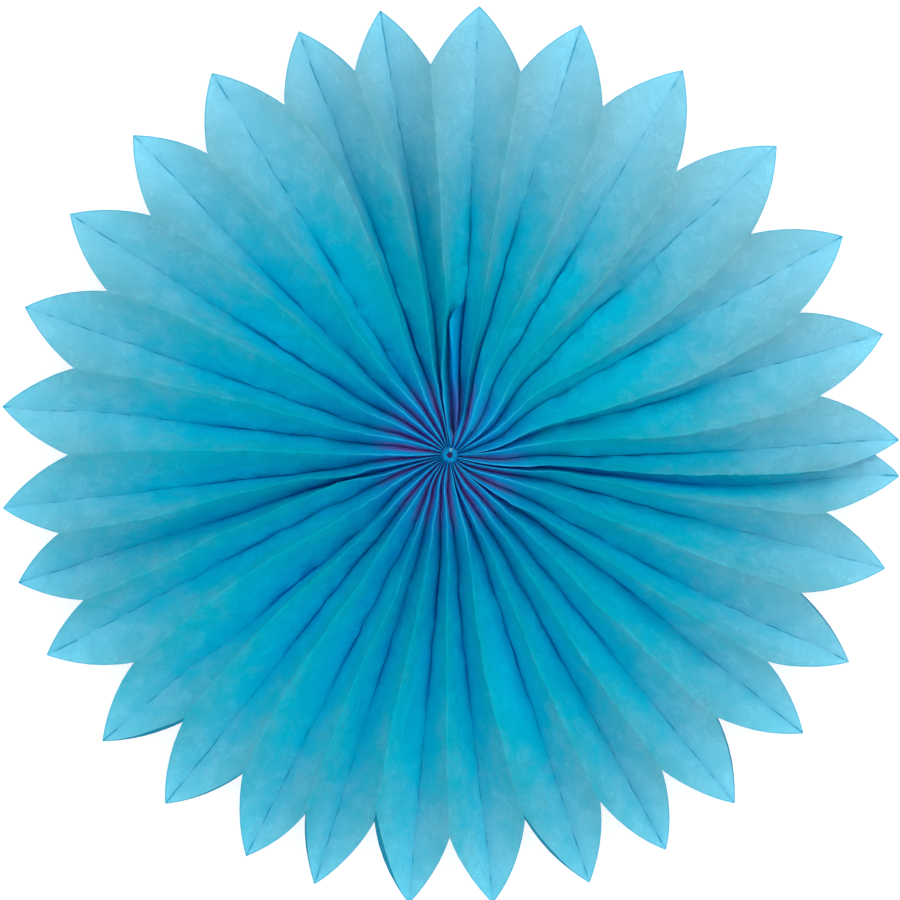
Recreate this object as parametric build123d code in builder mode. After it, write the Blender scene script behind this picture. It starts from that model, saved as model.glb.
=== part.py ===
"""Tissue-paper fan rosette, lying on its back with its petals outwards.

A long strip of tissue is pleated into equal panels. Its back folds run straight out to the
petal tips and lie on Z = 0. Its front folds stand a panel's width above them at the middle,
sink as the pleats open towards the rim, and end at the notches between the petals. The inner
ends are packed round a small hole, where a knotted thread runs through them. The two end
panels are pasted over each other between the last petal and the first.

The origin is the middle of the hole at the back of the rosette, and +Z points out of its face.
"""
from build123d import *
from math import cos, hypot, radians, sin, sqrt
import os

# Strip of tissue
panel_width = 24.0
petal_reach = 203.0
notch_reach = 171.5
petal_side_radius = 69.0
paper_thickness = 0.3

# Radii between which the folds change their course
neck_radius = 22.0
half_radius = 90.0

# Packed middle
hole_radius = 1.2
gather_radius = 3.6
gather_drop = 0.8
gather_turn = 5.0
gather_spread = 8.0

# Pasted joint of the two end panels
paste_lap = 8.0

# Thread through the packed folds, its two ends twisted together, and their knot in front
thread_diameter = 0.6
tail_diameter = 0.9
thread_clearance = 0.05
knot_diameter = 1.5
knot_height = 0.7
knot_angle = 78.0

# Each row is one petal and the pleat that follows it counter-clockwise, in degrees and mm:
# the opening up to the next petal, how far its front fold leans clockwise at the half radius
# and at the neck, and how far its notch lies outside the usual reach
first_petal_angle = 1.9
pleats = [
    (13.7, 3.8, 4.0, -2.0),
    (13.5, 5.9, 10.9, -1.0),
    (14.3, 3.8, 8.3, -3.0),
    (15.4, 1.6, 11.1, -8.0),
    (14.2, 0.9, 3.9, 0.5),
    (13.2, 0.6, -1.4, 4.5),
    (12.7, 0.6, -4.5, 5.0),
    (10.7, 4.8, 3.8, 6.5),
    (12.3, 5.3, 2.3, 3.0),
    (12.8, 1.8, 5.3, 3.0),
    (12.9, 2.2, 4.2, 1.5),
    (13.2, 2.2, 5.2, 0.0),
    (13.0, 1.6, 5.3, 2.5),
    (13.0, 1.3, 1.3, 1.0),
    (9.7, 2.2, 1.7, 8.0),
    (9.9, 3.0, 5.5, 6.0),
    (13.1, 3.0, 6.5, -1.0),
    (11.3, 2.2, 6.2, -3.0),
    (12.3, 2.0, 6.0, 0.0),
    (9.4, 0.3, 2.8, 2.5),
    (12.3, 0.7, 2.7, -3.0),
    (10.7, 1.2, 5.2, 1.0),
    (12.6, 2.5, 1.3, -3.5),
    (10.6, 0.9, 4.9, -1.5),
    (10.6, 0.5, 2.0, -0.5),
    (12.5, 0.6, 1.6, -1.5),
    (10.8, 0.7, 6.7, -1.0),
    (12.8, 1.0, 3.0, 0.0),
    (11.9, 1.4, 7.4, 0.0),
    (4.6, 4.8, 11.6, 20.0),
]

# A back fold keeps this share of the gap clear of the front folds beside it, and the paper
# fills no more than this share of a pleat's height at a fold
back_fold_clear_share = 0.3
fold_fill_share = 0.45
knot_round_share = 0.6

# Worked out from the sizes above
full_turn = 360.0
pleat_count = len(pleats)
last_pleat = pleat_count - 1
opening_scale = full_turn / sum(opening for opening, lean, turn, shift in pleats)
control_radii = [gather_radius, neck_radius, half_radius, notch_reach]
section_radii = [
    gather_radius,
    2 * gather_radius,
    (gather_radius + neck_radius) / 2,
    neck_radius,
    (neck_radius + half_radius) / 2,
    half_radius,
    (half_radius + notch_reach) / 2,
    notch_reach,
    petal_reach + panel_width / 2,
]
gather_height = panel_width - gather_drop
thread_ring_radius = (hole_radius + gather_radius) / 2
thread_ring_height = panel_width / 2
upwards = Vector(0, 0, 1)


def polar(radius, angle):
    """Point in plan at a radius and an angle in degrees."""
    return Vector(radius * cos(radians(angle)), radius * sin(radians(angle)))


def angle_at(radius, angles):
    """Angle of a fold at a radius, from its angles at the four control radii."""
    if radius <= control_radii[0]:
        return angles[0]
    for inner, outer, start, end in zip(control_radii, control_radii[1:], angles, angles[1:]):
        if radius <= outer:
            return start + (end - start) * (radius - inner) / (outer - inner)
    return angles[-1]


# Angle of each petal, and of the front fold that follows it at the four control radii
petal_angles = []
front_controls = []
running_angle = first_petal_angle
for index, (opening, half_lean, neck_lean, notch_shift) in enumerate(pleats):
    opening *= opening_scale
    middle = running_angle + opening / 2
    even = first_petal_angle + gather_turn + full_turn * (index + 0.5) / pleat_count
    packed = even - gather_spread * sin(2 * radians(even))
    petal_angles.append(running_angle)
    front_controls.append((packed, middle - neck_lean, middle - half_lean, middle))
    running_angle += opening


def front_angle(pleat, radius):
    """Angle of the front fold of a pleat, which winds on past the first and last."""
    turns, index = divmod(pleat, pleat_count)
    return angle_at(radius, front_controls[index]) + full_turn * turns


def back_angle(petal, radius):
    """Angle of a petal's back fold, which stays between the front folds beside it."""
    turns, index = divmod(petal, pleat_count)
    controls = []
    for control_radius in (gather_radius, neck_radius):
        sides = front_angle(index - 1, control_radius), front_angle(index, control_radius)
        controls.append(sum(sides) / 2)
    right, left = front_angle(index - 1, half_radius), front_angle(index, half_radius)
    clear = back_fold_clear_share * (left - right)
    controls.append(min(max(petal_angles[index], right + clear), left - clear))
    controls.append(petal_angles[index])
    return angle_at(radius, controls) + full_turn * turns


def pleat_spread(pleat, radius):
    """Half the distance in plan between the back folds on the two sides of a pleat."""
    gap = back_angle(pleat + 1, radius) - back_angle(pleat, radius)
    return radius * sin(radians(gap / 2))


def front_height(pleat, radius):
    """Height that a pleat's two panels leave its front fold, spread as far as they are."""
    reach = min(radius, notch_reach)
    width = panel_width
    if pleat % pleat_count == last_pleat:
        width -= paste_lap * reach / notch_reach
    rise = width ** 2 - pleat_spread(pleat, reach) ** 2
    return sqrt(max(rise, (2 * paper_thickness) ** 2))


def fold_depth(height, spread):
    """Upright depth of the paper at a fold, whose panels rise this far over this spread."""
    return min(paper_thickness * hypot(height, spread) / spread, fold_fill_share * height)


def front_depth(pleat, radius):
    """Upright depth of the paper at the front fold of a pleat."""
    return fold_depth(front_height(pleat, radius), pleat_spread(pleat, radius))


def notch_point(pleat):
    """Point in plan where the front fold of a pleat ends, at the bottom of its notch."""
    opening, half_lean, neck_lean, notch_shift = pleats[pleat % pleat_count]
    radius = notch_reach + notch_shift
    return polar(radius, front_angle(pleat, radius))


def make_petal(petal):
    """One petal: the two panels that rise from its back fold, cut to a point at the tip."""
    tip = polar(petal_reach, back_angle(petal, petal_reach))
    right_notch = notch_point(petal - 1)
    left_notch = notch_point(petal)
    with BuildPart() as folded_petal:
        for radius in section_radii:
            right = polar(radius, front_angle(petal - 1, radius))
            left = polar(radius, front_angle(petal, radius))
            right_height = front_height(petal - 1, radius)
            left_height = front_height(petal, radius)
            across = (left - right).normalized()
            inwards = across.cross(upwards)
            along_back = polar(1, back_angle(petal, radius))
            back = along_back * (right.dot(inwards) / along_back.dot(inwards))
            right_end = (right - back).dot(across)
            left_end = (left - back).dot(across)
            back_depth = fold_depth((right_height + left_height) / 2, (left_end - right_end) / 2)
            with BuildSketch(Plane(origin=back, x_dir=across, z_dir=inwards)):
                with BuildLine():
                    Polyline(
                        (0, 0),
                        (left_end, left_height - front_depth(petal, radius)),
                        (left_end, left_height),
                        (0, back_depth),
                        (right_end, right_height),
                        (right_end, right_height - front_depth(petal - 1, radius)),
                        close=True,
                    )
                make_face()
        loft(ruled=True)

        # Two round cuts, made through the folded stack, shape the petal's end
        across = left_notch - right_notch
        with BuildSketch():
            with BuildLine():
                RadiusArc(right_notch, tip, -petal_side_radius)
                RadiusArc(tip, left_notch, -petal_side_radius)
                Polyline(
                    left_notch,
                    left_notch + across,
                    left_notch + across + tip,
                    right_notch - across + tip,
                    right_notch - across,
                    right_notch,
                )
            make_face()
        extrude(amount=2 * panel_width, both=True, mode=Mode.SUBTRACT)
    return folded_petal.part


petals = [make_petal(petal) for petal in range(pleat_count)]

# The inner fold ends are packed solid, out to where the petals begin
packed_corners = [polar(gather_radius, front_angle(pleat, gather_radius)) for pleat in range(pleat_count)]
with BuildPart() as packed_folds:
    with BuildSketch():
        with BuildLine():
            Polyline(*packed_corners, close=True)
        make_face()
    extrude(amount=gather_height)

joined_petals = packed_folds.part.fuse(*petals, glue=True)
knot_seat = polar(thread_ring_radius, knot_angle) + upwards * gather_height

# The hole through the middle, and the way of the thread through the packed folds
with BuildPart() as passages:
    with BuildSketch(Plane.XZ):
        with Locations((thread_ring_radius, thread_ring_height)):
            Circle(thread_diameter / 2 + thread_clearance)
    revolve(axis=Axis.Z)
    with BuildSketch(Plane(origin=knot_seat)):
        Circle(tail_diameter / 2 + thread_clearance)
    extrude(amount=thread_ring_height - gather_height)
    with BuildSketch():
        Circle(hole_radius)
    extrude(amount=panel_width)

with BuildPart() as pleated_paper:
    add(joined_petals)
    add(passages.part, mode=Mode.SUBTRACT)

with BuildPart() as gather_thread:
    with BuildSketch(Plane.XZ):
        with Locations((thread_ring_radius, thread_ring_height)):
            Circle(thread_diameter / 2)
    revolve(axis=Axis.Z)
    with BuildSketch(Plane(origin=knot_seat)):
        Circle(tail_diameter / 2)
    extrude(amount=thread_ring_height - gather_height)
    with BuildSketch(Plane(origin=knot_seat)):
        Circle(knot_diameter / 2)
    extrude(amount=knot_height)
    fillet(gather_thread.edges().sort_by(Axis.Z)[-1], knot_height * knot_round_share)

pleated_paper.part.label = "pleated_paper"
gather_thread.part.label = "gather_thread"

os.makedirs("parts", exist_ok=True)
export_step(pleated_paper.part, "parts/pleated_paper.step")
export_step(gather_thread.part, "parts/gather_thread.step")
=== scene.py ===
"""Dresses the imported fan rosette: folded tissue, gathering thread, floor, lamp and camera."""
import logging
from dataclasses import dataclass, field
from enum import Enum
from math import atan2, cos, exp, hypot, pi, radians, sin, sqrt
from typing import Sequence

import bpy
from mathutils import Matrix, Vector, noise


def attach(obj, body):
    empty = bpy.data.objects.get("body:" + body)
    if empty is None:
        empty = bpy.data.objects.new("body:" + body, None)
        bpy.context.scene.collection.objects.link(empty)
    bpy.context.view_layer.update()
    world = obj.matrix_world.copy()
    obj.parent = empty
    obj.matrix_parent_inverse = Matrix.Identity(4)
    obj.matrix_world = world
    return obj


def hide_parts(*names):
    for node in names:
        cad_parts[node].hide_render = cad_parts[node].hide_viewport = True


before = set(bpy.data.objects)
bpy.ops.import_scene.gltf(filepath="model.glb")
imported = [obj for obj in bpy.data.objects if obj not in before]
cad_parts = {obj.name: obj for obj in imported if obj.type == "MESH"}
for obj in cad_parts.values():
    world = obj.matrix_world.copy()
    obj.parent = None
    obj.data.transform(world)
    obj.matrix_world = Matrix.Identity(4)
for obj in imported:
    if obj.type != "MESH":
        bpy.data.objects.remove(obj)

log = logging.getLogger("rosette")

MM = 0.001
FULL_TURN = 360.0

Colour = tuple[float, float, float, float]
Socket = bpy.types.NodeSocket
WHITE: Colour = (1.0, 1.0, 1.0, 1.0)

# Radii in mm at which the course of a front fold is given, from the gathered middle outwards.
# Its last angle belongs to the notch.
COURSE_RADII = (3.6, 9.0, 15.0, 22.5, 34.0, 45.0, 67.5, 90.0, 113.0, 135.0, 158.0)


class Side(Enum):
    """The two panels of a petal, seen from the front."""

    CLOCKWISE = 0
    COUNTER = 1


@dataclass(frozen=True)
class Pleat:
    """A petal and the front fold that follows it counter-clockwise, in degrees and mm.

    The course gives the fold's angles at COURSE_RADII. Sink lowers it half way out and rim_sink at the rim.
    The slivers give the widths of strips along the two cut edges beside the notch, where the edge bends down
    and painted shade darkens it, and tuck pushes the end panel under its neighbour.
    """

    petal: float
    notch: float
    notch_reach: float
    course: tuple[float, ...]
    sink: float = 0.0
    shaded_sliver_before: float = 0.0
    shaded_sliver_after: float = 0.0
    tuck: float = 0.0
    rim_sink: float = 0.0


@dataclass(frozen=True)
class Dent:
    """A soft crease in the sheet: place in degrees and mm, run, half sizes and height in mm."""

    angle: float
    radius: float
    turn: float
    half_length: float
    half_width: float
    height: float


PLEATS = (
    Pleat(1.9, 9.1, 169.2, (2, 3, 3.8, 4.8, 7.2, 7.3, 6.2, 4.9, 5.3, 6.5, 7.9)),
    Pleat(15.6, 22.2, 170.5, (4, 5, 6.6, 9.7, 15.3, 16.8, 16.7, 16.6, 17.3, 18.9, 20.6)),
    Pleat(29.1, 36.3, 168.7, (19, 24, 25.8, 28, 32, 35.2, 33.2, 32.4, 33, 34, 35.4)),
    Pleat(43.4, 51.4, 163.8, (27, 32, 34.5, 39.5, 46, 50, 50.3, 48.7, 48.9, 49.7, 50.5)),
    Pleat(58.8, 66.3, 171.9, (44, 51, 55, 61.5, 65.3, 66.2, 65.8, 65.3, 64.9, 65.1, 65.4)),
    Pleat(73.0, 79.5, 175.9, (62, 67, 69.5, 72, 75.5, 77, 77.7, 78.6, 79, 79.2, 79.3), 9.0),
    Pleat(86.2, 92.8, 176.4, (84, 93, 95.5, 96.3, 95.6, 93.7, 91.2, 91.9, 92, 92.3, 92.6)),
    Pleat(98.9, 103.9, 178.2, (98, 98, 98.3, 99.6, 100.1, 100.4, 99.3, 99.6, 100, 101.4, 103)),
    Pleat(109.6, 115.3, 174.6, (107, 108, 110, 113.3, 112.5, 111.8, 110.6, 110.3, 110.7, 111.5, 113.3)),
    Pleat(121.9, 128.8, 174.6, (118, 121, 122.5, 123, 126.3, 128, 127.3, 126, 126.3, 127.2, 128.2)),
    Pleat(134.7, 141.3, 172.8, (132, 134, 135.5, 137, 138.6, 139.3, 138.9, 138.6, 139, 139.8, 140.7)),
    Pleat(147.6, 154.4, 171.4, (145, 147, 148, 149.5, 151.4, 152.3, 152.2, 152.2, 152.4, 152.8, 153.7)),
    Pleat(160.8, 167.0, 174.1, (158, 158.5, 160.3, 162.3, 165, 166.2, 166, 165.4, 165.8, 166.1, 166.6)),
    Pleat(173.8, 180.0, 172.3, (175, 179, 180.5, 180, 179.8, 179.7, 179, 178.6, 178.8, 179.1, 179.6)),
    Pleat(186.8, 191.3, 179.5, (186, 188, 189, 190, 190, 191.5, 189.2, 190, 191, 191.7, 191.5)),
    Pleat(196.5, 201.6, 177.3, (194, 195, 195.3, 196, 196, 194, 196.3, 198.3, 199.4, 200.8, 201.5)),
    Pleat(206.4, 213.3, 170.5, (201, 203, 204.5, 206.5, 209, 210.3, 210.5, 210, 210.8, 212, 213)),
    Pleat(219.5, 225.0, 170.1,
          (212, 215, 217.2, 219.8, 221.4, 222.4, 222.8, 222.3, 222.8, 223.6, 224.4), 0.0, 2.4),
    Pleat(230.8, 237.0, 171.4,
          (222, 226, 229, 231.5, 232.9, 233.5, 235, 235, 235.2, 235.8, 236.5), 0.0, 0.9),
    Pleat(243.1, 248.1, 174.1,
          (231, 234, 237.5, 244.5, 246.7, 247.8, 248.8, 247.7, 247.2, 247.5, 247.8), 0.0, 0.0, 1.1),
    Pleat(252.5, 258.4, 168.7,
          (243, 246, 251, 255.7, 257, 258.2, 258.8, 258.3, 258, 258.1, 258.3), 0.0, 0.0, 3.4),
    Pleat(264.8, 270.0, 172.3, (256, 258, 261, 265.7, 268.5, 268.9, 268.8, 269.2, 269.4, 269.6, 269.8)),
    Pleat(275.5, 281.7, 167.8,
          (276, 278, 279, 280.3, 281.6, 281.3, 279.7, 279.2, 279.8, 280.6, 281.4), 0.0, 0.0, 1.9),
    Pleat(288.1, 293.5, 170.1,
          (281.5, 282.5, 284, 287.8, 291, 292.9, 292.9, 292.6, 292.8, 293.1, 293.3)),
    Pleat(298.7, 304.0, 171.0, (289, 292, 296, 301.8, 303.3, 304.4, 303.8, 303.5, 303.5, 303.7, 303.9)),
    Pleat(309.3, 315.6, 169.2,
          (308, 311, 312.7, 314.2, 315.1, 315.6, 315.3, 315, 315.1, 315.3, 315.4), 0.0, 1.0),
    Pleat(321.8, 327.0, 170.5,
          (311.5, 313, 315.5, 319, 322.3, 325.3, 326.4, 326.2, 326.4, 326.7, 326.9)),
    Pleat(332.6, 338.6, 170.5,
          (318, 323, 330, 335.4, 338, 339, 338.3, 338, 338.1, 338.3, 338.5), 0.0, 0.9),
    Pleat(345.4, 351.4, 171.4, (333, 338, 341.5, 344.5, 348, 350.7, 350.4, 349.9, 349.9, 350.2, 350.6)),
    Pleat(357.3, 357.9, 172.8,
          (342, 345, 346.5, 348.5, 351.5, 354.3, 354.5, 354.8, 355.4, 356.3, 357.2), tuck=3.0, rim_sink=9.0),
)

# Petals whose back fold isn't where the straight line from the tip would put it: its angles at
# these radii in mm. The last radius belongs to the tip's own angle.
BACK_RADII = (67.5, 90.0, 113.0, 135.0, 158.0, 185.0)
BACK_COURSES = {
    1.9: (-0.4, 0.3, 0.6, 1.0, 1.5),
    43.4: (44.5, 44.8, 43.9, 44.0, 43.6),
    73.0: (73.6, 73.8, 73.7, 73.5, 73.2),
    86.2: (84.0, 84.6, 85.2, 85.7, 85.9),
    98.9: (96.6, 97.6, 98.2, 98.5, 98.7),
    109.6: (107.8, 108.3, 108.8, 109.1, 109.2),
    134.7: (135.3, 135.3, 135.3, 135.2, 134.9),
    173.8: (172.4, 172.6, 172.8, 172.8, 173.0),
    196.5: (194.0, 195.2, 195.8, 196.1, 196.2),
    206.4: (203.4, 204.6, 205.2, 205.8, 206.0),
    219.5: (220.6, 220.6, 220.3, 219.8, 219.3),
    230.8: (229.2, 229.9, 230.3, 230.6, 230.7),
    275.5: (273.8, 274.3, 274.7, 275.1, 275.2),
    321.8: (322.6, 322.9, 322.7, 322.2, 322.0),
    332.6: (330.6, 330.8, 331.0, 331.3, 331.8),
    357.3: (352.6, 352.7, 353.2, 354.2, 355.7),
}

# Each petal's groove near the middle: its place between the two front folds, and how strong the painted
# violet shade in it is
GROOVES = {
    1.9: (0.43, 0.5), 15.6: (0.6, 0.1), 29.1: (0.55, 0.05), 43.4: (0.45, 0.05), 58.8: (0.5, 0.1),
    73.0: (0.5, 0.8), 86.2: (0.25, 0.5), 98.9: (0.5, 0.8), 109.6: (0.4, 1.0), 121.9: (0.55, 1.0),
    134.7: (0.65, 0.7), 147.6: (0.52, 0.9), 160.8: (0.58, 0.9), 173.8: (0.45, 1.0), 186.8: (0.35, 0.9),
    196.5: (0.5, 0.1), 206.4: (0.3, 1.0), 219.5: (0.45, 0.1), 230.8: (0.45, 1.0), 243.1: (0.7, 0.9),
    252.5: (0.3, 1.0), 264.8: (0.4, 1.0), 275.5: (0.25, 0.9), 288.1: (0.45, 0.4), 298.7: (0.42, 1.0),
    309.3: (0.35, 1.0), 321.8: (0.6, 0.9), 332.6: (0.45, 0.8), 345.4: (0.5, 1.0), 357.3: (0.5, 0.6),
}

# The petal with a second ridge pinched up in it, and that ridge's angles at some radii in mm
PINCHED_PETAL = 86.2
PINCH_RADII = (9.0, 15.0, 22.5, 34.0, 45.0, 56.0, 67.5)
PINCH_COURSE = (72.0, 78.0, 81.4, 87.0, 89.0, 90.1, 91.0)

# The end panel of the strip, tucked under its neighbour: how far out in mm its cut edge lies at
# some shares of the panel's width
TUCK_STOPS = (0.0, 0.1, 0.25, 0.35, 0.5, 0.75, 1.0)
TUCK_REACH = (203.0, 199.9, 193.8, 190.8, 188.0, 182.0, 171.6)

# The share of the panels that is pressed together at some radii in mm
OPEN_RADII = (4.0, 8.0, 14.0, 22.0, 32.0, 45.0, 60.0, 80.0, 105.0, 125.0)
CLOSED_SHARES = (0.88, 0.85, 0.79, 0.73, 0.69, 0.65, 0.58, 0.44, 0.22, 0.05)

# Radius and height in mm of the ring of packed fold ends, from its bottom round the outside
RING_PROFILE = (
    (1.35, 0.2), (3.7, 0.15), (3.7, 21.8), (3.4, 22.6), (2.9, 23.0), (2.2, 23.15), (1.6, 22.9), (1.35, 22.2),
)

DENTS = (
    Dent(44.6, 110.5, 118.0, 5.5, 2.0, -2.8),
    Dent(47.4, 112.0, 118.0, 6.0, 2.2, 2.2),
    Dent(29.8, 130.5, 15.0, 5.0, 2.1, -2.4),
    Dent(30.6, 128.0, 60.0, 3.4, 2.2, 2.1),
    Dent(70.5, 128.0, 40.0, 10.0, 2.2, 1.9),
    Dent(73.4, 122.5, -10.0, 3.5, 2.0, -2.4),
    Dent(124.0, 119.0, 155.0, 9.0, 2.0, -1.1),
    Dent(124.5, 131.0, 155.0, 9.0, 2.1, 1.1),
    Dent(125.0, 143.0, 155.0, 9.0, 2.1, -1.1),
    Dent(125.5, 153.0, 150.0, 9.0, 2.1, 1.1),
    Dent(89.0, 148.0, 100.0, 9.0, 2.2, 1.0),
    Dent(110.6, 142.0, 100.0, 5.0, 2.5, 1.3),
    Dent(114.0, 153.0, 35.0, 10.0, 2.1, 1.0),
    Dent(319.0, 151.0, 60.0, 12.0, 2.5, 1.1),
    Dent(317.5, 160.0, 40.0, 9.0, 2.5, -1.0),
    Dent(338.5, 132.0, 20.0, 10.0, 2.5, 1.0),
    Dent(357.9, 183.0, 100.0, 5.0, 2.1, -1.6),
    Dent(1.2, 122.0, 70.0, 5.0, 2.5, 1.1),
    Dent(17.2, 118.0, 80.0, 6.0, 2.1, -1.0),
    Dent(38.5, 131.0, 50.0, 11.0, 2.5, 1.0),
    Dent(59.5, 79.0, 90.0, 5.0, 2.2, 1.1),
    Dent(147.0, 135.0, 120.0, 9.0, 2.5, -1.0),
    Dent(161.5, 118.0, 130.0, 4.5, 1.8, 1.0),
    Dent(205.0, 122.0, 60.0, 7.0, 2.4, 1.0),
    Dent(211.0, 107.0, 80.0, 7.0, 2.4, -1.0),
    Dent(246.0, 147.0, 60.0, 9.0, 2.2, 0.8),
    Dent(292.0, 150.0, 100.0, 8.0, 2.2, 0.8),
    Dent(186.9, 146.0, 95.0, 4.0, 2.0, 1.0),
)


def waver(*place: float) -> float:
    """Soft unevenness between about -1 and 1, the same at the same place."""
    return noise.noise(Vector(place))


def layers(mesh: bpy.types.Mesh) -> list[bpy.types.Attribute]:
    """Adds the three attributes that the tissue's material reads."""
    return [mesh.attributes.new(name, "FLOAT_VECTOR", "POINT") for name in ("flat", "cut", "groove")]


def plan(radius: float, angle: float) -> tuple[float, float]:
    """Turns a radius and an angle in degrees into X and Y."""
    return radius * cos(radians(angle)), radius * sin(radians(angle))


def smooth_step(value: float, low: float, high: float) -> float:
    """Goes softly from 0 at low to 1 at high."""
    share = min(max((value - low) / (high - low), 0.0), 1.0)
    return share * share * (3.0 - 2.0 * share)


def through(value: float, places: Sequence[float], heights: Sequence[float]) -> float:
    """Runs a smooth curve through given points.

    Args:
        value: Place along the curve.
        places: Rising places of the points.
        heights: Height of the curve at each place.

    Returns:
        The curve's height, held level before the first point and after the last.
    """
    if value <= places[0]:
        return heights[0]
    if value >= places[-1]:
        return heights[-1]
    index = next(i for i, place in enumerate(places) if place > value) - 1
    start, end = places[index], places[index + 1]
    share = (value - start) / (end - start)
    slopes = []
    for at in (index, index + 1):
        low, high = max(at - 1, 0), min(at + 1, len(places) - 1)
        slopes.append((heights[high] - heights[low]) / (places[high] - places[low]) * (end - start))
    low, high = heights[index], heights[index + 1]
    square, cube = share * share, share * share * share
    return (
        low * (2 * cube - 3 * square + 1)
        + slopes[0] * (cube - 2 * square + share)
        + high * (3 * square - 2 * cube)
        + slopes[1] * (cube - square)
    )


class NodeGraph:
    """Builds a material's nodes."""

    def __init__(self, name: str) -> None:
        """Starts an empty material with its output node."""
        self.material = bpy.data.materials.new(name)
        self.material.use_nodes = True
        self.nodes = self.material.node_tree.nodes
        self.links = self.material.node_tree.links
        self.nodes.clear()
        self.output = self.nodes.new("ShaderNodeOutputMaterial")

    def add(self, kind: str, **values: object) -> bpy.types.Node:
        """Adds a node.

        Args:
            kind: The node's type, without its first words.
            values: Its settings.

        Returns:
            The new node.
        """
        node = self.nodes.new("ShaderNode" + kind)
        for name, value in values.items():
            setattr(node, name, value)
        return node

    def plug(self, socket: Socket, value: object) -> None:
        """Links a socket to another one, or gives it a number or colour.

        Args:
            socket: The input.
            value: Another node's output, or a plain value.
        """
        if isinstance(value, Socket):
            self.links.new(value, socket)
        else:
            socket.default_value = value

    def calc(self, operation: str, first: object, second: object = 0.0) -> Socket:
        """Adds a calculation on two numbers.

        Args:
            operation: Name of the calculation.
            first: Its first number or socket.
            second: Its second number or socket.

        Returns:
            The result's socket.
        """
        node = self.add("Math", operation=operation)
        self.plug(node.inputs[0], first)
        self.plug(node.inputs[1], second)
        return node.outputs[0]

    def times(self, first: object, second: object) -> Socket:
        """Multiplies two numbers."""
        return self.calc("MULTIPLY", first, second)

    def plus(self, first: object, second: object) -> Socket:
        """Adds two numbers."""
        return self.calc("ADD", first, second)

    def minus(self, first: object, second: object) -> Socket:
        """Takes the second number from the first."""
        return self.calc("SUBTRACT", first, second)

    def total(self, parts: Sequence[tuple[object, float]]) -> Socket:
        """Adds numbers up.

        Args:
            parts: Each number and its weight.

        Returns:
            The sum's socket.
        """
        sums = [self.times(value, weight) for value, weight in parts]
        result = sums[0]
        for part in sums[1:]:
            result = self.plus(result, part)
        return result

    def ramp(self, value: object, low: float, high: float) -> Socket:
        """Turns a number into a soft 0 to 1 between two limits, or 1 to 0 if low is above high.

        Args:
            value: The number.
            low: Where the result is 0.
            high: Where the result is 1.

        Returns:
            The result's socket.
        """
        node = self.add("MapRange", interpolation_type="SMOOTHSTEP")
        self.plug(node.inputs["Value"], value)
        first, last = (0.0, 1.0) if low < high else (1.0, 0.0)
        node.inputs["From Min"].default_value = min(low, high)
        node.inputs["From Max"].default_value = max(low, high)
        node.inputs["To Min"].default_value = first
        node.inputs["To Max"].default_value = last
        return node.outputs["Result"]

    def mix(self, share: object, first: object, second: object, blend: str = "MIX") -> Socket:
        """Blends two colours.

        Args:
            share: How much of the second colour is taken.
            first: The first colour.
            second: The second colour.
            blend: The way of blending.

        Returns:
            The colour's socket.
        """
        node = self.add("Mix", data_type="RGBA", blend_type=blend, clamp_factor=True)
        self.plug(node.inputs[0], share)
        self.plug(node.inputs[6], first)
        self.plug(node.inputs[7], second)
        return node.outputs[2]

    def clouds(
        self, vector: object, scale: float, detail: float, roughness: float = 0.55, distortion: float = 0.0
    ) -> Socket:
        """Adds a cloudy pattern.

        Args:
            vector: Its coordinates.
            scale: Clouds in a metre.
            detail: How many finer patterns lie in it.
            roughness: How strong those are.
            distortion: How far they are drawn out.

        Returns:
            The socket of its strength, about 0.5 on average.
        """
        node = self.add("TexNoise", noise_dimensions="3D")
        self.plug(node.inputs["Vector"], vector)
        node.inputs["Scale"].default_value = scale
        node.inputs["Detail"].default_value = detail
        node.inputs["Roughness"].default_value = roughness
        node.inputs["Distortion"].default_value = distortion
        return node.outputs["Fac"]

    def attribute(self, name: str) -> tuple[Socket, list[Socket]]:
        """Reads one of the sheet's own attributes.

        Args:
            name: The attribute.

        Returns:
            Its vector, and its three numbers.
        """
        vector = self.add("Attribute", attribute_name=name).outputs["Vector"]
        split = self.add("SeparateXYZ")
        self.plug(split.inputs[0], vector)
        return vector, list(split.outputs)

    def stretch(self, vector: object, scale: tuple[float, float, float]) -> Socket:
        """Stretches a pattern's coordinates.

        Args:
            vector: The coordinates.
            scale: How many times closer the pattern gets along X, Y and Z.

        Returns:
            The new coordinates.
        """
        node = self.add("Mapping")
        self.plug(node.inputs["Vector"], vector)
        node.inputs["Scale"].default_value = scale
        return node.outputs["Vector"]

    def finish(self, shader: Socket) -> bpy.types.Material:
        """Links the surface and returns the finished material."""
        self.links.new(shader, self.output.inputs["Surface"])
        return self.material


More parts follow.
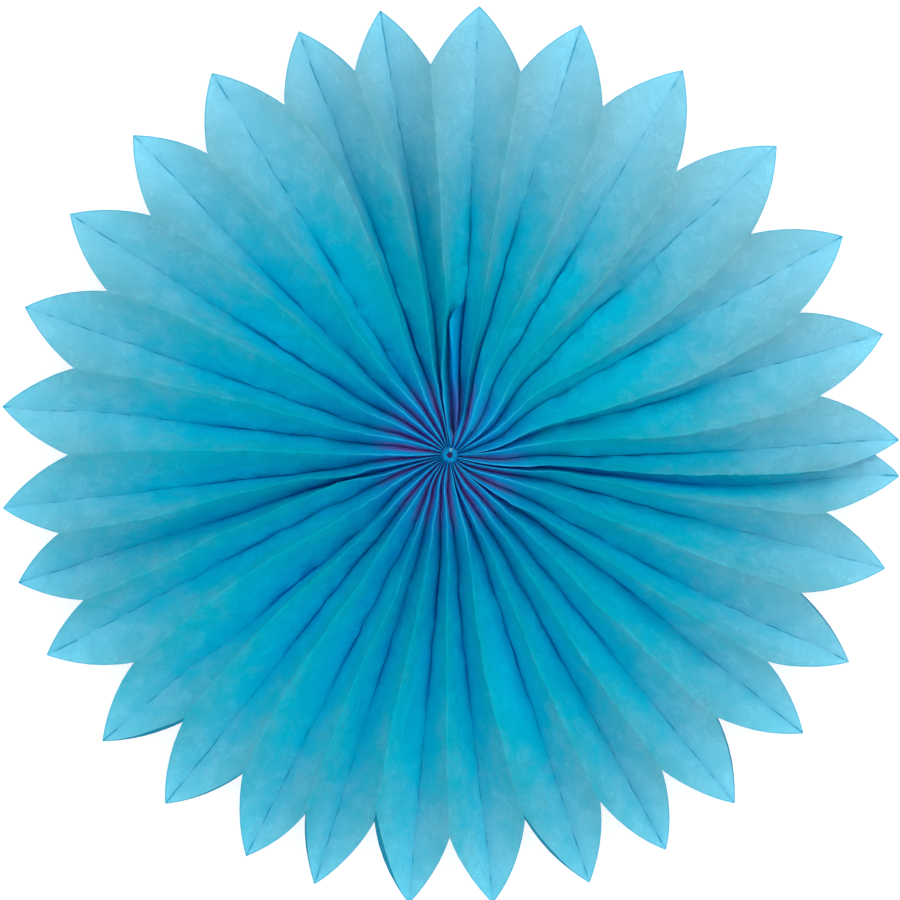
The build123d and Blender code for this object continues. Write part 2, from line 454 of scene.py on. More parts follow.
@dataclass(frozen=True)
class TissueFinish:
    """Crinkled dyed tissue with painted light and shade: pale where one layer lies open, and deep in colour
    between folds, where painted shade stands for the shade and bounced light in them. Its ridges carry
    painted highlights and its creases painted shade.
    """

    # Zone colours from rim to middle: the tissue's dye, with painted shade deepening it toward the middle in
    # place of the shade and bounced light between the folds
    pale: Colour = (0.36, 0.785, 0.90, 1.0)
    open_sheet: Colour = (0.235, 0.77, 0.895, 1.0)
    turning: Colour = (0.10, 0.75, 0.90, 1.0)
    deep: Colour = (0.0, 0.77, 0.93, 1.0)
    inner: Colour = (0.0, 0.76, 0.98, 1.0)
    pressed: Colour = (0.0, 0.56, 0.98, 1.0)
    middle: Colour = (0.0, 0.64, 0.97, 1.0)
    # Painted violet shade deep in the grooves near the middle
    violet_gap_shade: Colour = (0.50, 0.30, 0.85, 1.0)
    # Painted highlight on the front folds near the middle
    ridge: Colour = (0.14, 0.90, 0.99, 1.0)
    # Painted shade of the back-fold creases, also used for the darker cut edges
    crease: Colour = (0.0, 0.52, 0.74, 1.0)
    # Painted shade on the slivers along cut edges that bend down away from the light
    sliver_shade: Colour = (0.0, 0.34, 0.52, 1.0)
    zone_stops: tuple[float, ...] = (0.05, 0.14, 0.31, 0.45, 0.54, 0.64, 0.80)
    zones_in_a_metre: float = 4.0
    # Painted light: the zones turn paler toward the lamp's side, at this angle in degrees and by this much
    # in a metre
    painted_light_side: float = 62.0
    painted_light_lean: float = 0.15
    fleck_scale: float = 420.0
    fibre_scale: float = 1500.0
    streak_scale: float = 85.0
    crinkle_scale: float = 62.0
    dye_drift: float = 0.065
    dye_puffs: float = 0.08
    fold_shade_shift: float = 0.05
    base_tone: float = 0.795
    fibre_tone: float = 0.14
    fleck_tone: float = 0.22
    streak_tone: float = 0.07
    crinkle_shade_tone: float = -0.06
    vein_tone: float = 0.08
    painted_valley_light: float = 0.22
    painted_groove_light: float = 0.12
    ridge_highlight_share: float = 0.8
    crease_shade_share: float = 0.75
    least_crease_shade: float = 0.06
    rim_share: float = 0.45
    sliver_shade_share: float = 0.85
    bump_strength: float = 0.8
    bump_distance: float = 0.008
    roughness: float = 0.92
    specular: float = 0.04
    translucence: float = 0.55

    def dye(
        self, graph: NodeGraph, place: Socket, across: Socket, reach: Socket, held: Socket,
        patterns: dict[str, Socket],
    ) -> Socket:
        """Colours the sheet in soft zones from the middle to the rim. Painted shade deepens the dye toward
        the middle and between the folds, and painted light makes it paler toward the lit upper right and the
        front folds.

        Args:
            graph: The material's nodes.
            place: Object coordinates.
            across: 0 at a back fold, 1 at a front fold.
            reach: Distance from the middle in metres.
            held: How far painted light and shade hold the zones out at a point, in metres.
            patterns: The sheet's flecks and streaks.

        Returns:
            The colour's socket.
        """
        # Painted light: the zones turn paler toward the lit upper right
        dot = graph.add("VectorMath", operation="DOT_PRODUCT")
        graph.plug(dot.inputs[0], place)
        dot.inputs[1].default_value = (*plan(self.painted_light_lean, self.painted_light_side), 0.0)
        # Painted light and shade: paler toward the front folds, deeper toward the back folds
        painted_fold_shade = graph.times(graph.minus(across, 0.5), graph.ramp(reach, 0.165, 0.075))
        drift = graph.total((
            (graph.minus(patterns["streaks"], 0.5), self.dye_drift),
            (graph.minus(patterns["flecks"], 0.5), self.dye_puffs),
            (painted_fold_shade, self.fold_shade_shift),
        ))
        open_share = graph.plus(graph.plus(reach, dot.outputs["Value"]), graph.minus(drift, held))
        # Zones from middle to rim: the dye deepened by painted shade near the middle, and paler toward the
        # rim
        zones = graph.add("ValToRGB")
        graph.plug(zones.inputs[0], graph.times(open_share, self.zones_in_a_metre))
        dyes_and_shades = (self.middle, self.pressed, self.inner, self.deep, self.turning, self.open_sheet, self.pale)
        elements = zones.color_ramp.elements
        while len(elements) < len(dyes_and_shades):
            elements.new(0.5)
        for element, position, colour in zip(elements, self.zone_stops, dyes_and_shades):
            element.position = position
            element.color = colour
        return zones.outputs["Color"]

    def tone(
        self, graph: NodeGraph, across: Socket, reach: Socket, patterns: dict[str, Socket]
    ) -> Socket:
        """Lightens and darkens the sheet by its fibres, flecks and streaks. Painted shade darkens its
        crinkles, and painted light fills the valleys and grooves between its folds against painted shade
        toward the front folds.

        Args:
            graph: The material's nodes.
            across: 0 at a back fold, 1 at a front fold.
            reach: Distance from the middle in metres.
            patterns: The sheet's flecks, fibres, streaks and crinkles.

        Returns:
            The socket of the tone, about 1 on average.
        """
        streaks = patterns["streaks"]
        # Painted shade along the crinkles
        crinkle_shade = graph.times(graph.ramp(patterns["crinkles"], 0.022, 0.0), graph.ramp(streaks, 0.42, 0.60))
        veins = graph.calc("ABSOLUTE", graph.minus(streaks, 0.57))
        veins = graph.times(graph.ramp(veins, 0.02, 0.0), graph.ramp(reach, 0.05, 0.10))
        # Painted light lifting the shade in the valleys between the folds, and painted shade toward the
        # front folds
        valley_light = graph.times(graph.minus(0.5, across), graph.ramp(reach, 0.02, 0.05))
        # Painted light in the lower part of the grooves near the middle
        within = graph.times(graph.ramp(reach, 0.020, 0.045), graph.ramp(reach, 0.110, 0.075))
        groove_light = graph.times(graph.minus(0.42, across), within)
        tone = graph.total((
            (patterns["fibres"], self.fibre_tone),
            (patterns["flecks"], self.fleck_tone),
            (streaks, self.streak_tone),
            (crinkle_shade, self.crinkle_shade_tone),
            (veins, self.vein_tone),
            (valley_light, self.painted_valley_light),
            (groove_light, self.painted_groove_light),
        ))
        return graph.plus(tone, self.base_tone)

    def material(self) -> bpy.types.Material:
        """Builds the tissue's material.

        Returns:
            The finished material.
        """
        graph = NodeGraph("dyed_tissue")
        place = graph.add("TexCoord").outputs["Object"]
        flat, (_, reach, across) = graph.attribute("flat")
        _, (edge_gap, shaded_sliver, _) = graph.attribute("cut")
        _, (opening, gap_shade_violet, held) = graph.attribute("groove")
        flecks = graph.clouds(flat, self.fleck_scale, 3.0, 0.70)
        fibres = graph.clouds(graph.stretch(flat, (1.0, 0.35, 0.0)), self.fibre_scale, 2.0, 0.6)
        crinkles = graph.clouds(place, self.crinkle_scale, 2.0, 0.5, 0.3)
        patterns = {
            "flecks": flecks,
            "fibres": fibres,
            "streaks": graph.clouds(place, self.streak_scale, 3.0, 0.62, 0.3),
            "crinkles": graph.calc("ABSOLUTE", graph.minus(crinkles, 0.5)),
        }
        colour = self.dye(graph, place, across, reach, held, patterns)
        colour = graph.mix(1.0, colour, self.tone(graph, across, reach, patterns), "MULTIPLY")

        # Painted violet shade in the grooves near the middle, and painted highlights on the ridges between
        # them
        gap_shade_share = graph.times(graph.ramp(opening, 0.48, 0.14), graph.ramp(reach, 0.038, 0.018))
        colour = graph.mix(graph.times(gap_shade_share, gap_shade_violet), colour, self.violet_gap_shade)
        # Painted highlight along the front folds near the middle, broken by the flecks
        ridge_highlight = graph.times(graph.ramp(across, 0.965, 0.998), graph.ramp(reach, 0.050, 0.024))
        ridge_highlight = graph.times(ridge_highlight, graph.ramp(flecks, 0.35, 0.55))
        ridge_highlight = graph.times(ridge_highlight, graph.ramp(reach, 0.004, 0.010))
        colour = graph.mix(graph.times(ridge_highlight, self.ridge_highlight_share), colour, self.ridge)

        # Broken lines of painted shade in the back-fold creases, darker cut edges, and slivers of painted
        # shade along cut edges that bend down
        dashes = graph.clouds(graph.stretch(flat, (40.0, 90.0, 0.0)), 1.0, 1.0)
        # Painted shade in the back-fold creases toward the rim, in broken dashes
        line = graph.times(graph.ramp(across, 0.024, 0.008), graph.ramp(reach, 0.085, 0.125))
        strength = graph.times(graph.ramp(dashes, 0.44, 0.62), self.crease_shade_share)
        strength = graph.plus(strength, self.least_crease_shade)
        colour = graph.mix(graph.times(line, strength), colour, self.crease)
        rim = graph.ramp(edge_gap, 0.0009, 0.0002)
        colour = graph.mix(graph.times(rim, self.rim_share), colour, self.crease)
        # Painted shade on the slivers where the cut edge bends down
        tucked = graph.calc("LESS_THAN", edge_gap, shaded_sliver)
        colour = graph.mix(graph.times(tucked, self.sliver_shade_share), colour, self.sliver_shade)

        bump = graph.add("Bump")
        bump.inputs["Strength"].default_value = self.bump_strength
        bump.inputs["Distance"].default_value = self.bump_distance
        graph.plug(bump.inputs["Height"], graph.minus(graph.times(flecks, 0.06), patterns["crinkles"]))
        surface = graph.add("BsdfPrincipled")
        surface.inputs["Roughness"].default_value = self.roughness
        surface.inputs["Specular IOR Level"].default_value = self.specular
        showing_through = graph.add("BsdfTranslucent")
        for shader, dye in ((surface, "Base Color"), (showing_through, "Color")):
            graph.plug(shader.inputs[dye], colour)
            graph.plug(shader.inputs["Normal"], bump.outputs["Normal"])
        both = graph.add("MixShader")
        both.inputs[0].default_value = self.translucence
        graph.links.new(surface.outputs["BSDF"], both.inputs[1])
        graph.links.new(showing_through.outputs["BSDF"], both.inputs[2])
        return graph.finish(both.outputs[0])


@dataclass(frozen=True)
class ThreadFinish:
    """Pale sewing thread with its twist."""

    colour: Colour = (0.12, 0.44, 0.60, 1.0)
    shaded: Colour = (0.05, 0.26, 0.42, 1.0)
    twists_in_a_metre: float = 900.0
    roughness: float = 0.95
    specular: float = 0.1

    def material(self) -> bpy.types.Material:
        """Builds the thread's material.

        Returns:
            The finished material.
        """
        graph = NodeGraph("sewing_thread")
        place = graph.add("TexCoord").outputs["Object"]
        twist = graph.add("TexWave", wave_type="BANDS", bands_direction="DIAGONAL")
        graph.plug(twist.inputs["Vector"], place)
        twist.inputs["Scale"].default_value = self.twists_in_a_metre
        twist.inputs["Distortion"].default_value = 2.0
        colour = graph.mix(twist.outputs["Fac"], self.shaded, self.colour)
        bump = graph.add("Bump")
        bump.inputs["Strength"].default_value = 0.5
        bump.inputs["Distance"].default_value = 0.0002
        graph.plug(bump.inputs["Height"], twist.outputs["Fac"])
        shader = graph.add("BsdfPrincipled")
        graph.plug(shader.inputs["Base Color"], colour)
        graph.plug(shader.inputs["Normal"], bump.outputs["Normal"])
        shader.inputs["Roughness"].default_value = self.roughness
        shader.inputs["Specular IOR Level"].default_value = self.specular
        return graph.finish(shader.outputs["BSDF"])


@dataclass(frozen=True)
class FloorFinish:
    """White paper sweep that keeps the rosette's shadow, with a painted dark violet shade glowing on it
    under its hole.
    """

    base: float = 0.25
    lift: float = 0.82
    lift_from: float = 0.02
    lift_to: float = 0.08
    # Painted dark violet shade glowing on the floor under the hole
    hole: Colour = (0.030, 0.018, 0.10, 1.0)
    hole_shade_edge: tuple[float, float] = (0.003, 0.002)
    seen_grey: float = 0.8

    def material(self) -> bpy.types.Material:
        """Builds the floor's material.

        Returns:
            The finished material.
        """
        graph = NodeGraph("white_sweep")
        matt = graph.add("BsdfDiffuse")
        matt.inputs["Color"].default_value = (self.base, self.base, self.base, 1.0)
        lift = graph.add("Emission")
        away = graph.add("VectorMath", operation="LENGTH")
        graph.plug(away.inputs[0], graph.add("TexCoord").outputs["Object"])
        outside = graph.ramp(away.outputs["Value"], self.lift_from, self.lift_to)
        # Painted shade under the hole: the floor glows dark violet there instead of white
        under_hole_shade = graph.ramp(away.outputs["Value"], *self.hole_shade_edge)
        graph.plug(lift.inputs["Color"], graph.mix(under_hole_shade, WHITE, self.hole))
        graph.plug(lift.inputs["Strength"], graph.plus(graph.times(outside, self.lift), under_hole_shade))
        both = graph.add("AddShader")
        graph.links.new(matt.outputs[0], both.inputs[0])
        graph.links.new(lift.outputs[0], both.inputs[1])
        pale = graph.add("BsdfDiffuse")
        pale.inputs["Color"].default_value = (self.seen_grey, self.seen_grey, self.seen_grey, 1.0)
        path = graph.add("LightPath")
        switch = graph.add("MixShader")
        graph.links.new(path.outputs["Is Camera Ray"], switch.inputs[0])
        graph.links.new(pale.outputs[0], switch.inputs[1])
        graph.links.new(both.outputs[0], switch.inputs[2])
        return graph.finish(switch.outputs[0])


@dataclass
class PleatedTissue:
    """The folded strip of tissue: 60 panels, 30 petals, gathered round a hole."""

    name: str = "pleated_tissue"
    panel_width: float = 23.95
    petal_reach: float = 203.0
    inner_radius: float = 3.4
    gather_height: float = 23.1
    sheet_thickness: float = 0.16
    lowest: float = 0.12
    least_height: float = 5.0
    cut_arc: float = 82.0
    raised_share: float = 0.993
    row_crowding: float = 1.3
    edge_slant: float = 0.75
    ring_cells: int = 8
    ring_groove: float = 1.1
    smooth_angle: float = 38.0
    cells_across: int = 10
    cells_along: int = 74
    across_stops: tuple[float, ...] = (0.0, 0.03, 0.10, 0.22, 0.38, 0.55, 0.71, 0.84, 0.93, 0.98, 1.0)
    finish: TissueFinish = field(default_factory=TissueFinish)

    def pleat(self, index: int) -> tuple[Pleat, float]:
        """Finds a pleat by its number, which may run past the first and last.

        Args:
            index: Number of the petal, from 0.

        Returns:
            The pleat and the degrees to add to its angles.
        """
        turns, place = divmod(index, len(PLEATS))
        return PLEATS[place], turns * FULL_TURN

    def fold_beside(self, index: int, side: Side) -> int:
        """Number of the front fold on one side of a petal."""
        return index if side is Side.COUNTER else index - 1

    def front_angle(self, index: int, radius: float) -> float:
        """Finds the angle of the front fold that follows a petal.

        Args:
            index: Number of the petal.
            radius: Distance from the middle in mm.

        Returns:
            The angle in degrees.
        """
        pleat, turn = self.pleat(index)
        number = index % len(PLEATS)
        wobble = waver(number * 5.7, radius * 0.09, 3.0) * 0.6
        wobble += waver(number * 3.1, radius * 0.30, 9.0) * 0.45
        wobble *= smooth_step(radius, 12.0, 40.0) * smooth_step(pleat.notch_reach - radius, 2.0, 20.0)
        angle = through(radius, COURSE_RADII + (pleat.notch_reach,), pleat.course + (pleat.notch,))
        return angle + turn + wobble / radians(1) / max(radius, 20.0)

    def back_angle(self, index: int, radius: float) -> float:
        """Finds the angle of a petal's back fold.

        Args:
            index: Number of the petal.
            radius: Distance from the middle in mm.

        Returns:
            The angle in degrees, always between the two front folds.
        """
        pleat, turn = self.pleat(index)
        number = index % len(PLEATS)
        sides = self.front_angle(index - 1, radius), self.front_angle(index, radius)
        share = 0.5 + (GROOVES[pleat.petal][0] - 0.5) * smooth_step(radius, 6.0, 16.0)
        middle = sides[0] + (sides[1] - sides[0]) * share
        course = BACK_COURSES.get(pleat.petal)
        straight = pleat.petal + turn
        if course:
            straight = through(radius, BACK_RADII, course + (pleat.petal,)) + turn
        freed = smooth_step(radius, 20.0, 55.0)
        wander = waver(number * 7.9, radius * 0.11, 5.0) * 0.5
        wander += waver(number * 4.7, radius * 0.34, 8.0) * 0.4
        wander *= smooth_step(radius, 60.0, 90.0) * (1.0 - smooth_step(radius, 165.0, 195.0))
        angle = middle + (straight - middle) * freed + wander / radians(1) / max(radius, 20.0)
        room = 0.2 * (sides[1] - sides[0]) * (1.0 - smooth_step(radius, 150.0, 185.0))
        return min(max(angle, sides[0] + room), sides[1] - room)

    def front_height(self, index: int, radius: float) -> float:
        """Works out the height of a front fold from the width and spread of the panels beside it.

        Args:
            index: Number of the petal before the fold.
            radius: Distance from the middle in mm.

        Returns:
            The height above the back folds in mm.
        """
        pleat, _ = self.pleat(index)
        within = min(radius, pleat.notch_reach)
        angle = self.front_angle(index, within)
        before = angle - self.back_angle(index, within)
        after = self.back_angle(index + 1, within) - angle
        spread = radians((before + after) / 2) * within
        height = sqrt(max(self.panel_width ** 2 - spread ** 2, self.least_height ** 2))
        sink = pleat.sink * smooth_step(radius, 10.0, 25.0) * (1.0 - smooth_step(radius, 45.0, 75.0))
        sink += pleat.rim_sink * smooth_step(radius, 40.0, 90.0)
        settle = 1.0 - smooth_step(radius, 5.0, 18.0)
        return height + (self.gather_height - height) * settle - sink

    def cut_radius(self, index: int, side: Side, across: float) -> float:
        """Radius at which the point of a petal is cut.

        Args:
            index: Number of the petal.
            side: Which of its panels.
            across: 0 at the back fold, 1 at the front fold.

        Returns:
            The radius in mm.
        """
        fold = self.fold_beside(index, side)
        pleat, _ = self.pleat(fold)
        if pleat.tuck and side is Side.COUNTER:
            return through(across, TUCK_STOPS, TUCK_REACH)
        beyond = 2.0 * self.petal_reach
        half = abs(self.front_angle(fold, beyond) - self.back_angle(index, beyond))
        tip = Vector((self.petal_reach, 0.0))
        notch = Vector(plan(pleat.notch_reach * self.raised_share, half))
        chord = notch - tip
        inward = Vector((chord.y, -chord.x)).normalized()
        if inward.dot(tip) > 0:
            inward = -inward
        rise = sqrt(self.cut_arc ** 2 - chord.length_squared / 4)
        middle = (tip + notch) / 2 + inward * rise
        ray = Vector(plan(1.0, half * across))
        reach = middle.dot(ray)
        return reach + sqrt(max(reach ** 2 - middle.length_squared + self.cut_arc ** 2, 0.0))

    def point(self, index: int, side: Side, across: float, radius: float) -> Vector:
        """Place of a point of the sheet once it is folded.

        Args:
            index: Number of the petal.
            side: Which of its panels.
            across: 0 at the back fold, 1 at the front fold.
            radius: Distance from the middle in mm.

        Returns:
            The point in mm.
        """
        fold = self.fold_beside(index, side)
        back = self.back_angle(index, radius)
        front = self.front_angle(fold, radius)
        height = self.front_height(fold, radius)
        open_share = smooth_step(radius, 20.0, 60.0)
        rounding = 0.10 + 0.30 * open_share
        away = (1.0 - across) * self.panel_width
        lift = self.lowest + (height - self.lowest) * across
        lift -= height / self.panel_width * rounding * exp(-away / rounding)
        bow = sin(pi * across)
        seed = index * 2 + side.value
        swell = waver(seed * 3.7, radius * 0.018, 0.5) * 1.5 * open_share
        swell += waver(seed * 9.1, radius * 0.06, 7.5) * 0.5 * open_share
        lift += bow * swell
        crush = waver(seed * 4.3 + across * 1.8, radius * 0.11, 2.2)
        lift += crush * 0.45 * smooth_step(radius, 60.0, 120.0) * min(1.0, 4.0 * across)
        angle = back + (front - back) * self.spread(across, radius, radians(abs(front - back)) * radius)
        pleat, _ = self.pleat(index)
        if pleat.petal == PINCHED_PETAL and side is Side.COUNTER:
            angle, lift = self.pinched((angle, lift), (back, front), height, across, radius)
        spin = 1.0 if side is Side.COUNTER else -1.0
        lean = bow * swell * 0.5 * spin * height / self.panel_width
        angle += lean / radians(1) / max(radius, 12.0)
        tuck = pleat.tuck * smooth_step(radius, 160.0, 182.0) if side is Side.COUNTER else 0.0
        if tuck:
            angle += tuck * bow
            lift -= (lift - self.lowest) * 0.8 * bow * min(tuck / 3.0, 1.0)
        return Vector((*plan(radius, angle), lift))

    def spread(self, across: float, radius: float, half_gap: float) -> float:
        """Share of the way from back fold to front fold, in plan.

        Near the middle the lower part of the panels is pressed together, so that only the upper
        part opens as a groove.

        Args:
            across: 0 at the back fold, 1 at the front fold.
            radius: Distance from the middle in mm.
            half_gap: Distance in plan between the two folds in mm.

        Returns:
            The share.
        """
        slot = min(0.11 / half_gap, 0.5) * min(across / 0.1, 1.0)
        share = slot + (1.0 - slot) * self.opening(across, radius) ** 0.64
        return across + (share - across) * self.pressed(radius)

    def pressed(self, radius: float) -> float:
        """How far the lower part of the panels is pressed together at a radius in mm."""
        return smooth_step(radius, 2.6, 4.4) * (1.0 - smooth_step(radius, 85.0, 130.0))

    def opening(self, across: float, radius: float) -> float:
        """Place in a groove near the middle: 0 on its bottom, 1 on the front fold."""
        closed = through(radius, OPEN_RADII, CLOSED_SHARES)
        return max((across - closed) / (1.0 - closed), 0.0)

    def pinched(
        self, plain: tuple[float, float], sides: tuple[float, float], height: float, across: float,
        radius: float,
    ) -> tuple[float, float]:
        """Pinches a second ridge up in a panel.

        Args:
            plain: Angle and height of the point on the plain panel.
            sides: Angles of the panel's back and front folds.
            height: Height of its front fold.
            across: 0 at the back fold, 1 at the front fold.
            radius: Distance from the middle in mm.

        Returns:
            The angle and height with the ridge.
        """
        ridge = through(radius, PINCH_RADII, PINCH_COURSE)
        stops = (0.0, 0.38, 0.71, 1.0)
        turns = (sides[0], ridge, ridge + (sides[1] - ridge) * 0.4, sides[1])
        heights = (self.lowest, height * 0.94, height * 0.45, height)
        at = next(i for i, stop in enumerate(stops[1:]) if across <= stop)
        share = (across - stops[at]) / (stops[at + 1] - stops[at])
        pinch = smooth_step(radius, 8.0, 13.0) * (1.0 - smooth_step(radius, 58.0, 74.0))
        new_angle = turns[at] + (turns[at + 1] - turns[at]) * share
        new_lift = heights[at] + (heights[at + 1] - heights[at]) * share
        return plain[0] + (new_angle - plain[0]) * pinch, plain[1] + (new_lift - plain[1]) * pinch

    def dented(self, point: Vector) -> Vector:
        """Presses the listed dents into the sheet.

        Args:
            point: A point of the folded sheet in mm.

        Returns:
            The point, lifted or lowered, and never under the sheet's lowest place.
        """
        lift = 0.0
        for dent in DENTS:
            middle = Vector(plan(dent.radius, dent.angle))
            away = Vector((point.x - middle.x, point.y - middle.y))
            if away.length > 3.0 * dent.half_length:
                continue
            turn = radians(dent.angle + dent.turn)
            along = away.x * cos(turn) + away.y * sin(turn)
            aside = away.y * cos(turn) - away.x * sin(turn)
            lift += dent.height * exp(-(along / dent.half_length) ** 2 - (aside / dent.half_width) ** 2)
        height = max(point.z + lift * min(1.0, point.z / 2.0), self.lowest)
        return Vector((point.x, point.y, height))

    def painted_light_and_shade_shift(self, index: int, side: Side, across: float, radius: float) -> float:
        """Works out how far painted light and shade hold the zones of colour out, or let them in, at a point
        of the sheet.

        Args:
            index: Number of the petal.
            side: Which of its panels.
            across: 0 at the back fold, 1 at the front fold.
            radius: Distance from the middle in mm.

        Returns:
            The distance in metres. It is largest where painted shade deepens the colour under the tucked end
            panel. It is below 0 where painted light makes the upper right petals paler. The
            counter-clockwise side of each petal is painted a little paler as its lit side, and the clockwise
            side a little deeper as its shaded side.
        """
        pleat, _ = self.pleat(index)
        # Painted shade: deeper colour under the tucked end panel, most on its counter-clockwise side
        if pleat.tuck:
            shade = 1.0 if side is Side.COUNTER else 1.0 - smooth_step(across, 0.35, 0.85)
            return 0.035 * (1.0 - smooth_step(radius, 150.0, 195.0)) * shade
        # Painted light: the upper right petals paler, counter-clockwise sides a little paler and clockwise
        # sides a little deeper
        paler = max(cos(radians(pleat.petal - 50.0)), 0.0) ** 4
        return (-0.003 if side is Side.COUNTER else 0.004) - 0.012 * paler

    def fold_strip(self) -> bpy.types.Object:
        """Adds the flat strip as one grid, then cuts and folds it.

        Returns:
            The open sheet.
        """
        panels = 2 * len(PLEATS)
        columns = panels * self.cells_across
        bpy.ops.mesh.primitive_grid_add(x_subdivisions=columns, y_subdivisions=self.cells_along, size=1.0)
        sheet = bpy.context.object
        sheet.name = sheet.data.name = self.name
        mesh = sheet.data
        flat, cut, groove = layers(mesh)
        for vertex in mesh.vertices:
            column = round((vertex.co.x + 0.5) * columns)
            row = vertex.co.y + 0.5
            panel = min(column // self.cells_across, panels - 1)
            stop = self.across_stops[column - panel * self.cells_across]
            index, side = panel // 2, Side(panel % 2)
            across = stop if side is Side.COUNTER else 1.0 - stop
            outer = self.cut_radius(index, side, across)
            radius = self.inner_radius + (outer - self.inner_radius) * row ** self.row_crowding
            vertex.co = self.dented(self.point(index, side, across, radius)) * MM
            # Width of the strip of painted shade beside the notch
            beside, _ = self.pleat(self.fold_beside(index, side))
            width = beside.shaded_sliver_before if side is Side.COUNTER else beside.shaded_sliver_after
            width *= smooth_step(across, 0.1, 0.75)
            opening = across + (self.opening(across, radius) - across) * self.pressed(radius)
            # Strength of the painted violet shade in this petal's groove
            gap_shade_violet = GROOVES[self.pleat(index)[0].petal][1]
            held = self.painted_light_and_shade_shift(index, side, across, radius)
            along = (panel + stop) * self.panel_width
            flat.data[vertex.index].vector = (along * MM, radius * MM, across)
            cut.data[vertex.index].vector = ((outer - radius) * MM * self.edge_slant, width * MM, 0.0)
            groove.data[vertex.index].vector = (opening, gap_shade_violet, held)
        return sheet

    def pack_middle(self) -> bpy.types.Object:
        """Turns the ring of packed fold ends round the hole.

        Returns:
            The closed ring.
        """
        start, bottom = (value * MM for value in RING_PROFILE[0])
        segments = self.ring_cells * len(PLEATS)
        bpy.ops.mesh.primitive_circle_add(vertices=segments, radius=start, location=(0.0, 0.0, bottom))
        ring = bpy.context.object
        ring.name = "packed_ends"
        bpy.ops.object.transform_apply(location=True, rotation=True, scale=True)
        bpy.ops.object.mode_set(mode="EDIT")
        bpy.ops.mesh.select_all(action="SELECT")
        for before, after in zip(RING_PROFILE, RING_PROFILE[1:] + RING_PROFILE[:1]):
            rise = (0.0, 0.0, (after[1] - before[1]) * MM)
            bpy.ops.mesh.extrude_region_move(TRANSFORM_OT_translate={"value": rise})
            share = after[0] / before[0]
            bpy.ops.transform.resize(value=(share, share, 1.0), center_override=(0.0, 0.0, after[1] * MM))
        bpy.ops.mesh.select_all(action="SELECT")
        bpy.ops.mesh.remove_doubles(threshold=0.00002)
        bpy.ops.mesh.normals_make_consistent(inside=False)
        bpy.ops.object.mode_set(mode="OBJECT")
        flat, cut, grooves = layers(ring.data)
        for vertex in ring.data.vertices:
            radius = hypot(vertex.co.x, vertex.co.y) / MM
            turn = atan2(vertex.co.y, vertex.co.x)
            uneven = waver(cos(turn) * 2.6, sin(turn) * 2.6, 4.0)
            groove = 0.5 - 0.5 * cos(turn * len(PLEATS) / 2 + uneven * 5.0)
            groove = min(groove * (1.2 + uneven), 1.0)
            groove *= smooth_step(radius, 1.5, 2.9) * smooth_step(vertex.co.z / MM, 10.0, 22.0)
            vertex.co.z -= groove * self.ring_groove * MM
            # Painted shade in the ring's grooves: lower across, and painted violet shade
            flat.data[vertex.index].vector = (turn * 0.2, radius * MM, 1.0 - 0.4 * groove)
            cut.data[vertex.index].vector = (0.1, 0.0, 0.0)
            grooves.data[vertex.index].vector = (1.0 - 0.7 * groove, 0.8, 0.0)
        return ring

    def cut_area(self) -> float:
        """Works out the area of the flat strip once its points are cut.

        Returns:
            The area in square metres.
        """
        total = 0.0
        steps = 10
        for index in range(len(PLEATS)):
            for side in Side:
                reaches = [self.cut_radius(index, side, step / steps) for step in range(steps + 1)]
                total += (sum(reaches) / len(reaches) - self.inner_radius) * self.panel_width
        return total * MM * MM

    def build(self) -> bpy.types.Object:
        """Folds the sheet and gives it its thickness, its packed middle and its finish.

        Returns:
            The finished piece.
        """
        ring = self.pack_middle()
        bpy.ops.object.select_all(action="DESELECT")
        sheet = self.fold_strip()
        bpy.ops.object.mode_set(mode="EDIT")
        bpy.ops.mesh.select_all(action="SELECT")
        bpy.ops.mesh.normals_make_consistent(inside=False)
        bpy.ops.object.mode_set(mode="OBJECT")
        if sheet.data.polygons[len(sheet.data.polygons) // 2].normal.z < 0:
            bpy.ops.object.mode_set(mode="EDIT")
            bpy.ops.mesh.select_all(action="SELECT")
            bpy.ops.mesh.flip_normals()
            bpy.ops.object.mode_set(mode="OBJECT")
        solid = sheet.modifiers.new("thickness", "SOLIDIFY")
        solid.thickness = self.sheet_thickness * MM
        solid.offset = 0.0
        bpy.ops.object.modifier_apply(modifier=solid.name)
        ring.select_set(True)
        bpy.ops.object.join()
        bpy.ops.object.shade_smooth_by_angle(angle=radians(self.smooth_angle))
        sheet.data.materials.clear()
        sheet.data.materials.append(self.finish.material())
        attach(sheet, "root")
        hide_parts("pleated_paper")
        self.cut_area()
        log.info("%s: %d faces, %.3f square metres", sheet.name, len(sheet.data.polygons), self.cut_area())
        return sheet


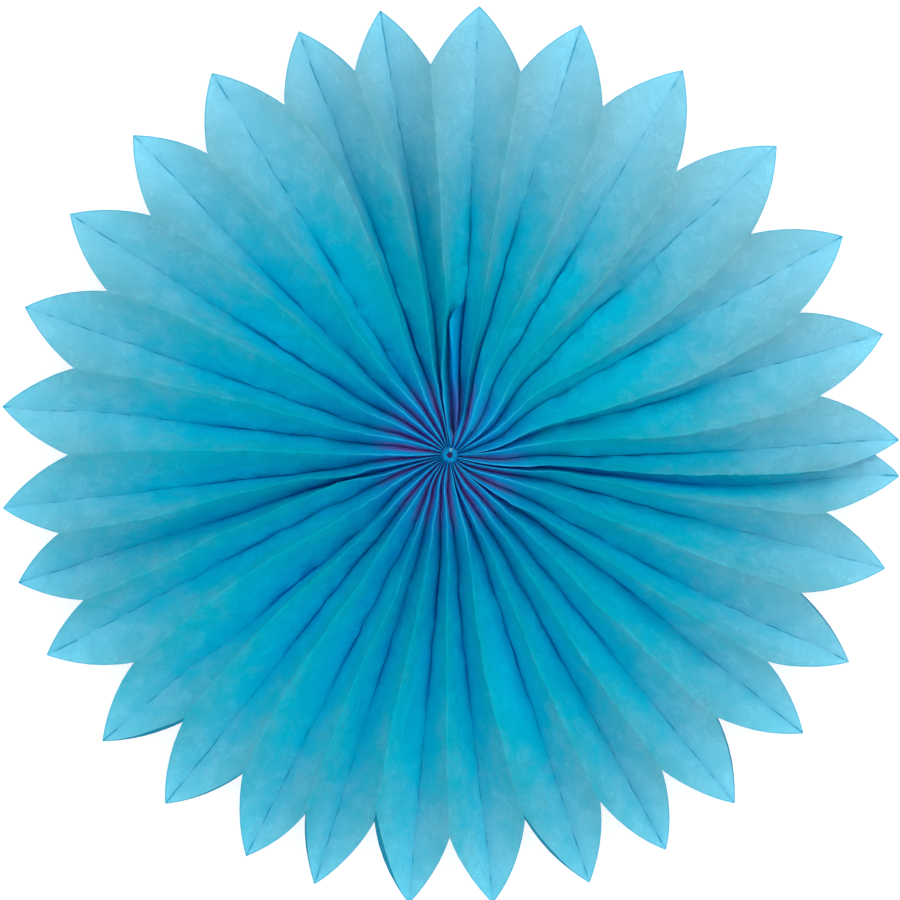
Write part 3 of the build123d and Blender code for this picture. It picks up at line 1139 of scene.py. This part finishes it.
@dataclass
class Studio:
    """White sweep, one soft lamp, white surroundings and the camera above the rosette."""

    frame_width: float = 0.406
    sensor_width: float = 36.0
    camera_height: float = 2.2
    camera_x: float = 0.00014
    camera_y: float = 0.00226
    lamp_power: float = 7.7
    sky: float = 1.30
    seen_sky: float = 1.0
    light_angle: float = 50.0
    lamp_away: float = 1.0
    lamp_height: float = 1.25
    lamp_size: float = 0.9
    floor_size: float = 6.0
    floor_height: float = -0.0003
    floor: FloorFinish = field(default_factory=FloorFinish)

    def build_floor(self) -> bpy.types.Object:
        """Adds the sweep that the rosette lies on.

        Returns:
            The sweep.
        """
        bpy.ops.mesh.primitive_plane_add(size=self.floor_size, location=(0.0, 0.0, self.floor_height))
        sweep = bpy.context.object
        sweep.name = "sweep"
        sweep.data.materials.append(self.floor.material())
        return sweep

    def build_camera(self) -> bpy.types.Object:
        """Adds the camera, straight above the rosette with a long lens.

        Returns:
            The camera.
        """
        data = bpy.data.cameras.new("camera")
        data.type = "PERSP"
        data.sensor_width = self.sensor_width
        data.lens = self.sensor_width * self.camera_height / self.frame_width
        camera = bpy.data.objects.new("camera", data)
        camera.location = (self.camera_x, self.camera_y, self.camera_height)
        bpy.context.scene.collection.objects.link(camera)
        bpy.context.scene.camera = camera
        return camera

    def build_lights(self) -> None:
        """Adds the key lamp and the soft white surroundings."""
        data = bpy.data.lights.new("key", "AREA")
        data.energy = self.lamp_power
        data.size = self.lamp_size
        lamp = bpy.data.objects.new("key", data)
        lamp.location = (*plan(self.lamp_away, self.light_angle), self.lamp_height)
        lamp.rotation_euler = (-lamp.location).to_track_quat("-Z", "Y").to_euler()
        bpy.context.scene.collection.objects.link(lamp)
        world = bpy.data.worlds.new("studio")
        bpy.context.scene.world = world
        world.use_nodes = True
        nodes, links = world.node_tree.nodes, world.node_tree.links
        nodes.clear()
        path = nodes.new("ShaderNodeLightPath")
        switch = nodes.new("ShaderNodeMixShader")
        output = nodes.new("ShaderNodeOutputWorld")
        links.new(path.outputs["Is Camera Ray"], switch.inputs[0])
        for strength, place in ((self.sky, 1), (self.seen_sky, 2)):
            white = nodes.new("ShaderNodeBackground")
            white.inputs["Strength"].default_value = strength
            white.inputs["Color"].default_value = WHITE
            links.new(white.outputs[0], switch.inputs[place])
        links.new(switch.outputs[0], output.inputs["Surface"])


@dataclass
class GatherThread:
    """The thread through the gathered folds, which keeps the source's own shape."""

    node: str = "gather_thread"
    finish: ThreadFinish = field(default_factory=ThreadFinish)

    def dress(self) -> None:
        """Gives the thread its finish."""
        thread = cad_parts[self.node]
        material = self.finish.material()
        if not thread.material_slots:
            thread.data.materials.append(material)
        for slot in thread.material_slots:
            slot.material = material
        log.info("%s dressed", self.node)


def main() -> None:
    """Builds the scene and notes the sizes."""
    logging.basicConfig(level=logging.INFO)
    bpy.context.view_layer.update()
    bpy.ops.object.select_all(action="DESELECT")
    studio = Studio()
    studio.build_camera()
    studio.build_lights()
    studio.build_floor()
    bpy.ops.object.select_all(action="DESELECT")
    PleatedTissue().build()
    GatherThread().dress()
    bpy.context.scene.view_settings.view_transform = "Standard"


if __name__ == "__main__":
    main()
